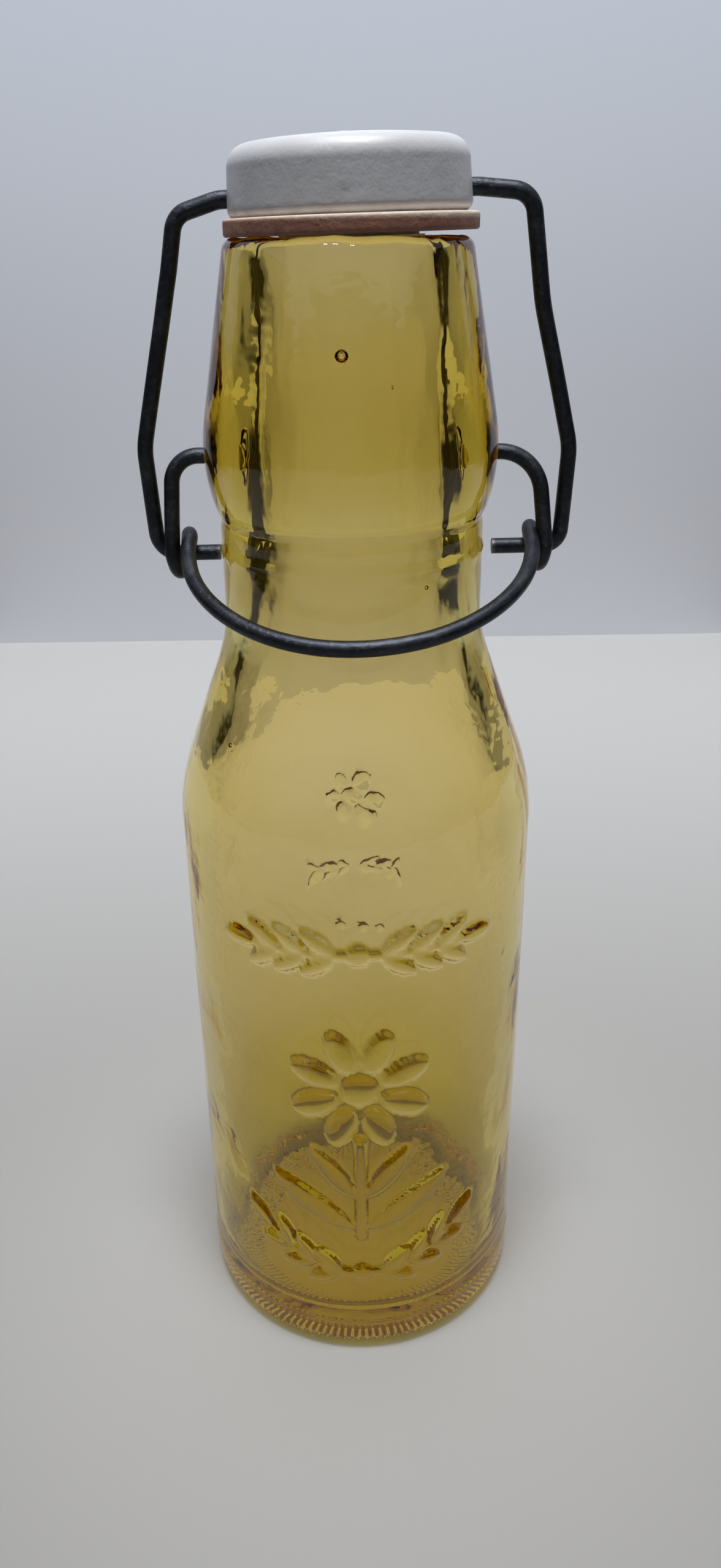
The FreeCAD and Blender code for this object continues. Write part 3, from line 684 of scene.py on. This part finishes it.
steel_wire, place, shader = new_finish("steel_wire")
along = Tone(steel_wire.node_tree.nodes.new("ShaderNodeAttribute").outputs["Fac"])
along.socket.node.attribute_name = "along"
cut_end = 1 - along.over(0.0, 0.004) * (1 - along.over(0.996, 1.0))
blotches = place.grain(160.0, 4.0, 0.65).over(0.45, 0.70)
freckles = place.grain(1400.0, 3.0, 0.6).over(0.48, 0.66)
dark_steel = freckles.between((0.030, 0.033, 0.041, 1), (0.039, 0.043, 0.052, 1))
worn_steel = freckles.between((0.058, 0.062, 0.071, 1), (0.084, 0.089, 0.098, 1))
steel_colour = (0.6 * blotches).between(dark_steel, worn_steel)
cut_end.between(steel_colour, (0.14, 0.145, 0.15, 1)).feed(shader.inputs["Base Color"])
shader.inputs["Metallic"].default_value = 1.0
(0.42 + 0.08 * blotches + 0.05 * freckles).feed(shader.inputs["Roughness"])
pits = place.grain(2600.0, 2.0, 0.6)
(pits + 0.6 * freckles).bumped(0.00004).feed(shader.inputs["Normal"])

right_eye = (eye_outer + 0.5 * mm, eye_inner + 1.2 * mm)
left_eye = (eye_outer - 1.5 * mm, eye_inner - 1.2 * mm)
bow_bend = (right_eye[1] + left_eye[1]) / 2
right_side = lever_side(1, collar_reach + 6.3 * mm, 6.5 * mm, *right_eye, bow_bend)
left_side = lever_side(-1, collar_reach + 5.1 * mm, 4.2 * mm, *left_eye, bow_bend)
lever = make_wire("lever", right_side + left_side[::-1], steel_wire)
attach(lever, "lever")
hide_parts("lever_wire")


# Bail: one bent steel wire of the same stock. A pin at each end turns in the lever's eye, the legs kink
# inwards on their way up, and the middle runs across through the stopper.
hole_height = joint_places["stopper_tilt"].z
stopper_low, stopper_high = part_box("stopper_cap")
stopper_radius = stopper_high.x
pin_reach = neck_radius + 1.0 * mm
cross_tilt = 0.034
droop_bend = 6.0 * mm


def bail_side(side, leg):
    """Corners of one side of the bail, from its pin by those of its leg to where it enters the stopper."""
    entry = stopper_radius + 1.0 * mm
    flat = [(pin_reach + 0.6 * side * mm, pin_tilt * side * pin_reach, 0.0)]
    flat += [(reach * mm, climb * mm, bend * mm) for reach, climb, bend in leg]
    flat.append((entry, hole_height - pin_height + cross_tilt * side * entry, droop_bend))
    return [(Vector((side * reach, 0, pin_height + climb)), bend) for reach, climb, bend in flat]


# Corners of the legs, from the pin upwards: reach from the axis, height over the pin, and bend.
right_leg = ((32.6, 0.26, 2.6), (33.3, 15.4, 12.0), (28.1, 35.6, 30.0), (25.9, 49.9, 3.2))
left_leg = ((30.5, -0.25, 3.4), (31.4, 15.8, 12.0), (25.7, 40.4, 25.0), (24.4, 47.5, 3.2))
bail = make_wire("bail", bail_side(1, right_leg) + bail_side(-1, left_leg)[::-1], steel_wire)
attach(bail, "bail")
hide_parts("bail_wire")


# Stopper: a white moulded disc with a slightly domed top and a short beaded stem below, drilled across for
# the bail. Satin plastic, a little uneven and soiled at its lower edge.
stopper_edge = 3.0 * mm
stopper_dome = 130.0 * mm
stopper_foot = 1.5 * mm
stopper_draft = 0.35 * mm
stopper_drift = Vector((0.3 * mm, 0, 0.15 * mm))
stopper_tilt = math.radians(1.6)
gasket_low, gasket_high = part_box("sealing_gasket")
stopper_base = gasket_high.z
stem_radius = 10.0 * mm
bead_reach = 10.8 * mm
bead_round = 0.6 * mm
bead_top = gasket_low.z - 0.1 * mm
stopper_steps = 144
hole_play = 0.4 * mm


def turned(outline, steps, shift):
    """A closed form turned from an outline that starts and ends on the axis, with each point shifted."""
    built = bmesh.new()
    first = built.verts.new(shift(Vector((0, 0, outline[0][1]))))
    last = built.verts.new(shift(Vector((0, 0, outline[-1][1]))))
    loops = []
    for radius, height in outline[1:-1]:
        turns = [2 * math.pi * step / steps for step in range(steps)]
        spots = [Vector((radius * math.cos(turn), radius * math.sin(turn), height)) for turn in turns]
        loops.append([built.verts.new(shift(spot)) for spot in spots])
    for lower, upper in zip(loops, loops[1:]):
        for step in range(steps):
            after = (step + 1) % steps
            built.faces.new((lower[step], lower[after], upper[after], upper[step]))
    for step in range(steps):
        after = (step + 1) % steps
        built.faces.new((first, loops[0][after], loops[0][step]))
        built.faces.new((last, loops[-1][step], loops[-1][after]))
    return built


dome_centre = stopper_high.z - stopper_dome
edge_reach = stopper_radius - stopper_draft - stopper_edge
dome_turn = math.acos(edge_reach / (stopper_dome - stopper_edge))
edge_level = dome_centre + (stopper_dome - stopper_edge) * math.sin(dome_turn)
bead_edge = bead_reach - bead_round
foot_edge = stopper_radius - stopper_foot
stopper_outline = straight((0, stopper_low.z), (bead_edge, stopper_low.z), 2 * mm)
stopper_outline += rounded((bead_edge, stopper_low.z + bead_round), bead_round, -quarter, 0, 0.2 * mm)
stopper_outline += straight((bead_reach, stopper_low.z + bead_round), (bead_reach, bead_top), 1 * mm)
stopper_outline += straight((bead_reach, bead_top), (stem_radius, bead_top), 1 * mm)
stopper_outline += straight((stem_radius, bead_top), (stem_radius, stopper_base), 1 * mm)
stopper_outline += straight((stem_radius, stopper_base), (foot_edge, stopper_base), 1 * mm)
stopper_outline += rounded((foot_edge, stopper_base + stopper_foot), stopper_foot, -quarter, 0, 0.15 * mm)
side_foot, side_top = (stopper_radius, stopper_base + stopper_foot), (edge_reach + stopper_edge, edge_level)
stopper_outline += straight(side_foot, side_top, 0.5 * mm)
stopper_outline += rounded((edge_reach, edge_level), stopper_edge, 0, dome_turn, 0.3 * mm)
stopper_outline += rounded((0, dome_centre), stopper_dome, dome_turn, quarter, 0.8 * mm)
stopper_outline.append((0, stopper_high.z))
stopper_middle = Vector((0, 0, hole_height))
tilt = Matrix.Rotation(-stopper_tilt, 3, "Y")


def on_tilted_stopper(spot):
    """A point of the stopper's outline where use has left it: tilted, a little aside, and uneven above."""
    outward = (spot - stopper_middle).normalized()
    rise = -0.04 * mm
    if spot.z > stopper_base + 0.2 * mm:
        rise += 0.06 * mm * noise.noise(spot / (6 * mm))
        rise += 0.10 * mm * swelling(spot.x, -0.6 * mm, 0.5 * mm) * (spot.y < 0) * (spot.z > hole_height)
    drift = stopper_drift if spot.z > stopper_base - 0.2 * mm else Vector((0, 0, 0))
    return stopper_middle + tilt @ (spot + outward * rise - stopper_middle) + drift


stopper = finished("stopper", turned(stopper_outline, stopper_steps, on_tilted_stopper))
cross_hole = bmesh.new()
cross_wire = Matrix.Translation(stopper_middle) @ Matrix.Rotation(-math.atan(cross_tilt), 4, "Y")
bore(cross_hole, wire_radius + hole_play, -2 * stopper_radius, 2 * stopper_radius, cross_wire)
carved(stopper, cross_hole)
white_stopper, place, shader = new_finish("white_stopper")
low_down = 1 - place.axis("Z").over(stopper_base, stopper_base + 2.2 * mm)
soiled = low_down * place.grain(260.0, 4.0, 0.7).over(0.42, 0.7)
mottle = place.grain(90.0, 3.0).over(0.35, 0.75)
white = mottle.between((0.77, 0.785, 0.82, 1), (0.83, 0.845, 0.88, 1))
(0.55 * soiled).between(white, (0.42, 0.38, 0.33, 1)).feed(shader.inputs["Base Color"])
(0.34 + 0.12 * mottle + 0.2 * soiled).feed(shader.inputs["Roughness"])
(place.grain(700.0, 2.0) + 0.4 * place.grain(2400.0, 1.0)).bumped(0.00005).feed(shader.inputs["Normal"])
stopper.data.materials.clear()
stopper.data.materials.append(white_stopper)
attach(stopper, "stopper")
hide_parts("stopper_cap")


# Gasket: a flat ring of tan rubber stretched over the stopper's stem. Use has pressed it out of round, and
# it lies on the lip with one side raised.
gasket_radius = gasket_high.x
gasket_bore = stem_radius + 0.1 * mm
gasket_edge = 0.4 * mm
gasket_drift = 0.55 * mm
gasket_tilt = math.radians(1.1)
gasket_rim = gasket_radius - gasket_edge
lower_edge, upper_edge = gasket_low.z + gasket_edge, gasket_high.z - gasket_edge
gasket_outline = straight((gasket_bore, gasket_high.z), (gasket_bore, gasket_low.z), 0.6 * mm)
gasket_outline += straight((gasket_bore, gasket_low.z), (gasket_rim, gasket_low.z), 0.9 * mm)
gasket_outline += rounded((gasket_rim, lower_edge), gasket_edge, -quarter, 0, 0.15 * mm)
gasket_outline += straight((gasket_radius, lower_edge), (gasket_radius, upper_edge), 0.4 * mm)
gasket_outline += rounded((gasket_rim, upper_edge), gasket_edge, 0, quarter, 0.15 * mm)
gasket_outline += straight((gasket_rim, gasket_high.z), (gasket_bore, gasket_high.z), 0.9 * mm)
gasket_steps = 160
rubber_ring = bmesh.new()
rubber_loops = []
for radius, height in gasket_outline:
    loop = []
    for step in range(gasket_steps):
        turn = 2 * math.pi * step / gasket_steps
        facing = Vector((math.cos(turn), math.sin(turn), 0))
        share = (radius - gasket_bore) / (gasket_radius - gasket_bore)
        reach = radius + share * (0.18 * noise.noise(1.6 * facing) - 0.1) * mm
        spot = facing * reach + Vector((gasket_drift * share, 0, height))
        spot.z += math.tan(gasket_tilt) * (spot.x + gasket_radius) - 0.03 * mm
        loop.append(rubber_ring.verts.new(spot))
    rubber_loops.append(loop)
for lower, upper in zip(rubber_loops, rubber_loops[1:] + rubber_loops[:1]):
    for step in range(gasket_steps):
        after = (step + 1) % gasket_steps
        rubber_ring.faces.new((lower[step], lower[after], upper[after], upper[step]))
gasket = finished("gasket", rubber_ring)
gasket.data.set_sharp_from_angle(angle=math.radians(60))
gasket_rubber, place, shader = new_finish("gasket_rubber")
# Painted light: the ring's top edge is paler, as if lit from above.
painted_light_top_edge = place.axis("Z").over(gasket_high.z - 0.5 * mm, gasket_high.z + 0.2 * mm)
wear = place.grain(380.0, 4.0, 0.65).over(0.4, 0.72)
rubber = wear.between((0.41, 0.19, 0.132, 1), (0.54, 0.285, 0.21, 1))
(0.9 * painted_light_top_edge).between(rubber, (1.0, 0.84, 0.70, 1)).feed(shader.inputs["Base Color"])
(0.62 + 0.2 * wear).feed(shader.inputs["Roughness"])
(place.grain(1500.0, 3.0, 0.6) + 0.5 * wear).bumped(0.00008).feed(shader.inputs["Normal"])
gasket.data.materials.append(gasket_rubber)
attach(gasket, "stopper")
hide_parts("sealing_gasket")


# Studio: a pale table before a pale wall, under a soft lamp, with three small lamps that give the glints.
# Dark cards, out of the camera's sight, stand for the rest of the room in glass and steel, and only the
# floor round the bottle throws light back up.
floor_half = 0.9
bright_half = 0.2
bright_near = -0.12
wall_half = 1.3
wall_distance = 0.395
wall_height = 0.9
card_distance = 0.45
card_turns = (42, 76)
card_low, card_high = 0.045, 0.23
card_fade = 0.05
room_half = 0.8
room_end = 0.3
room_height = 0.45


def staged(name, mesh):
    """A dull piece of the set, the place on it and its shader."""
    made = bpy.data.objects.new(name, mesh)
    bpy.context.scene.collection.objects.link(made)
    material, place, shader = new_finish(name)
    shader.inputs["Roughness"].default_value = 0.7
    shader.inputs["Specular IOR Level"].default_value = 0.0
    mesh.materials.append(material)
    return made, place, shader


def upright(name, first, last, low, high):
    """A sheet over the line between two places of the floor."""
    mesh = bpy.data.meshes.new(name)
    mesh.from_pydata([(*first, low), (*last, low), (*last, high), (*first, high)], [], [(0, 1, 2, 3)])
    return staged(name, mesh)


def level_sheets(name, sheets):
    """A mesh of sheets on the floor, each from one corner to the opposite one."""
    corners = []
    for (left, near), (right, far) in sheets:
        corners += [(left, near, 0), (right, near, 0), (right, far, 0), (left, far, 0)]
    mesh = bpy.data.meshes.new(name)
    mesh.from_pydata(corners, [], [range(first, first + 4) for first in range(0, len(corners), 4)])
    return mesh


def dark_card(name, first, last, low, high):
    """A sheet that only glass and steel see."""
    card, place, shader = upright(name, first, last, low, high)
    shader.inputs["Base Color"].default_value = (0.012, 0.013, 0.011, 1)
    card.visible_camera = False
    card.visible_diffuse = False
    card.visible_shadow = False
    return card, place, shader


bright_sheet = ((-bright_half, bright_near), (bright_half, wall_distance))
table, place, shader = staged("floor", level_sheets("floor", [bright_sheet]))
# Painted light: the floor is paler towards the wall, where more light falls.
painted_light_falloff = place.axis("Y").over(-0.1, 0.35).between((0.375, 0.37, 0.357, 1), (0.67, 0.67, 0.67, 1))
# Painted light: a paler pool round the bottle's foot stands for the light that the glass throws on the
# floor.
painted_pool_centre = {0: place, 1: (0, -0.012, 0)}
painted_pool_distance = place.node("ShaderNodeVectorMath", {"operation": "DISTANCE"}, painted_pool_centre, "Value")
painted_pool_distance.over(0.03, 0.12).between((0.50, 0.495, 0.485, 1), painted_light_falloff).feed(shader.inputs["Base Color"])
other_sheets = [
    ((-floor_half, -floor_half), (floor_half, bright_near)),
    ((-floor_half, bright_near), (-bright_half, wall_distance)),
    ((bright_half, bright_near), (floor_half, wall_distance)),
]
table_around = staged("floor_around", level_sheets("floor_around", other_sheets))[0]
table_around.data.materials[0] = table.data.materials[0]
table_around.visible_diffuse = False

wall_ends = ((-wall_half, wall_distance), (wall_half, wall_distance))
wall, place, shader = upright("wall", *wall_ends, 0, wall_height)
# Painted light: the wall is paler and glows faintly blue towards its top, as if lit from above, though it
# is no lamp.
painted_light_upwards = place.axis("Z").over(0.05, 0.32)
painted_light_upwards.between((0.79, 0.81, 0.845, 1), (0.86, 0.89, 0.94, 1)).feed(shader.inputs["Base Color"])
painted_light_upwards.between((0.03, 0.03, 0.045, 1), (0.125, 0.15, 0.20, 1)).feed(shader.inputs["Emission Color"])
shader.inputs["Emission Strength"].default_value = 1.0
wall.data.materials[0].cycles.emission_sampling = "NONE"

for name, side in (("left", -1), ("right", 1)):
    turns = [math.radians(turn) for turn in card_turns]
    ends = [Vector((side * math.sin(turn), math.cos(turn))) * card_distance for turn in turns]
    card, place, shader = dark_card(name + "_card", *ends, card_low, card_high)
    stretch = (ends[1] - ends[0]).to_3d()
    share = stretch / stretch.length_squared
    start = share.dot(ends[0].to_3d())
    reach = place.node("ShaderNodeVectorMath", {"operation": "DOT_PRODUCT"}, {0: place, 1: share}, "Value")
    level = place.axis("Z")
    soft_sides = reach.over(start, start + 0.24) * (1 - reach.over(start + 0.76, start + 1))
    soft_foot = level.over(card_low, card_low + card_fade)
    soft_top = 1 - level.over(card_high - card_fade, card_high)
    (soft_sides * soft_foot * soft_top).feed(shader.inputs["Alpha"])
    room_ends = ((side * room_half, -room_half), (side * room_half, room_end))
    room_side = dark_card(name + "_room", *room_ends, 0, room_height)[0]
    room_side.visible_transmission = False
room_ends = ((-room_half, -room_half), (room_half, -room_half))
room_front = dark_card("front_room", *room_ends, 0, room_height)[0]
room_front.visible_transmission = False


def hung_lamp(name, place, size, power):
    """A lamp that shines down. Glass lets its light through as shadow, so refracted rays don't meet it."""
    lamp = bpy.data.lights.new(name, "AREA")
    lamp.shape = "RECTANGLE"
    lamp.size, lamp.size_y = size
    lamp.energy = power
    hung = bpy.data.objects.new(name, lamp)
    hung.location = place
    hung.visible_transmission = False
    bpy.context.scene.collection.objects.link(hung)
    return hung


# The soft lamp's light falls on dull surfaces, and a panel in its place is what steel and glass mirror.
lamp_middle = Vector((0.0, -0.22, 1.8))
panel_half = (0.4, 0.22)
soft_lamp = hung_lamp("soft_lamp", lamp_middle, (0.5, 0.3), 26.0)
soft_lamp.visible_glossy = False
panel_mesh = bpy.data.meshes.new("lamp_panel")
panel_corners = [(-1, -1), (-1, 1), (1, 1), (1, -1)]
panel_spots = [lamp_middle + Vector((x * panel_half[0], y * panel_half[1], 0)) for x, y in panel_corners]
panel_mesh.from_pydata(panel_spots, [], [(0, 1, 2, 3)])
lamp_panel, place, shader = staged("lamp_panel", panel_mesh)
shader.inputs["Base Color"].default_value = (0, 0, 0, 1)
shader.inputs["Emission Color"].default_value = (1, 1, 1, 1)
shader.inputs["Emission Strength"].default_value = 38.0
panel_mesh.materials[0].cycles.emission_sampling = "NONE"
lamp_panel.visible_camera = False
lamp_panel.visible_diffuse = False
lamp_panel.visible_transmission = False
lamp_panel.visible_shadow = False
for number, x in enumerate((-0.385, -0.16, 0.105)):
    glint = hung_lamp("glint_" + str(number), (x, -0.7, 1.2), (0.10, 0.10), 0.9)
    glint.visible_diffuse = False

# The light that the glass gathers under itself.
glow = hung_lamp("gathered_light", (0, 0, 0.05 * mm), (2 * rest_outer, 2 * rest_outer), 0.0015)
glow.data.shape = "DISK"
glow.data.color = (1.0, 0.92, 0.5)
glow.rotation_euler = (math.pi, 0, 0)
glow.visible_camera = False
glow.visible_transmission = True

world = bpy.data.worlds.new("room")
world.use_nodes = True
background = world.node_tree.nodes["Background"]
ray = world.node_tree.nodes.new("ShaderNodeLightPath").outputs
shown = Tone(ray["Is Camera Ray"]) + Tone(ray["Is Glossy Ray"]) + Tone(ray["Is Transmission Ray"])
shown.between((0.06, 0.06, 0.062, 1), (0.36, 0.37, 0.39, 1)).feed(background.inputs["Color"])
bpy.context.scene.world = world


# Camera: where the photograph was taken from, a hand's length from the bottle and level with its lip.
# It looks down, is turned slightly round its axis, and frames the bottle as the photograph does.
camera_distance = 179.6 * mm
camera_height = 189.6 * mm
camera_pitch = math.radians(25.5)
camera_roll = math.radians(-0.8)
focal_pixels = 1870.0
frame_height_pixels = 2556.0
axis_offset_pixels = 8.1
camera = bpy.data.cameras.new("camera")
camera.sensor_fit = "VERTICAL"
camera.sensor_height = 36.0
camera.lens = camera.sensor_height * focal_pixels / frame_height_pixels
camera.shift_x = axis_offset_pixels / frame_height_pixels
camera.clip_start = 0.01
camera_object = bpy.data.objects.new("camera", camera)
aim = Matrix.Rotation(quarter - camera_pitch, 4, "X") @ Matrix.Rotation(camera_roll, 4, "Z")
camera_object.matrix_world = Matrix.Translation((0, -camera_distance, camera_height)) @ aim
bpy.context.scene.collection.objects.link(camera_object)
bpy.context.scene.camera = camera_object
bpy.context.scene.view_settings.view_transform = "Standard"
